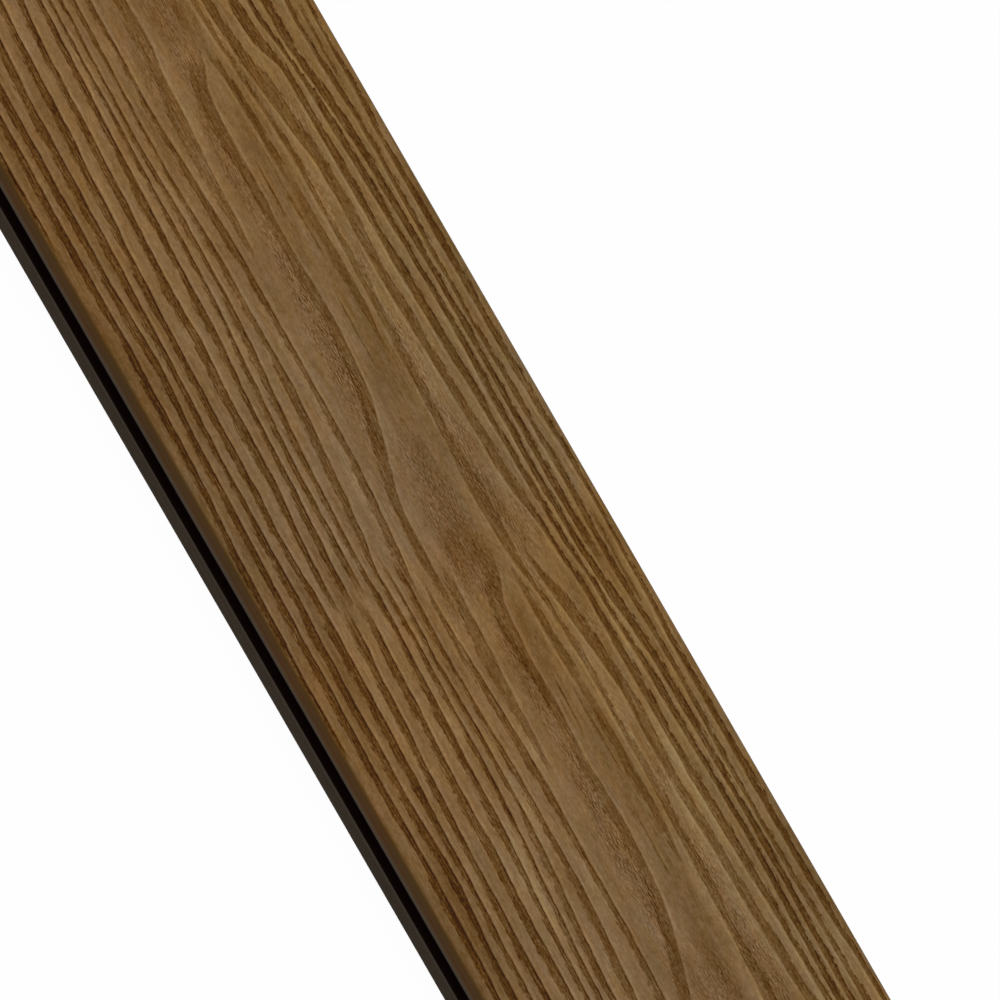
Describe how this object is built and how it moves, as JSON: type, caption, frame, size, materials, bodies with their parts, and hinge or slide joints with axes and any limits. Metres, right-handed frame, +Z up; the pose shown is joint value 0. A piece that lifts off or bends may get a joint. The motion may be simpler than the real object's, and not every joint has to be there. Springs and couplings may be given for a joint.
{
  "type": "decking board",
  "caption": "Composite decking board with a wood-grain embossed top, eased top edges and a clip groove along each long edge.",
  "frame": {"origin": "middle of the underside, on the surface the board lies on", "axes": "+X along the board, +Y across it towards one grooved edge, +Z up through the thickness to the grained face"},
  "size_m": [2.4, 0.14, 0.025],
  "materials": {
    "board": "brown wood-grain embossed cap with a low sheen over a dark grey-brown wood-plastic core, bare on the underside, ends, grooves and lower lips"
  },
  "bodies": {
    "root": {"board": "board"}
  },
  "joints": []
}
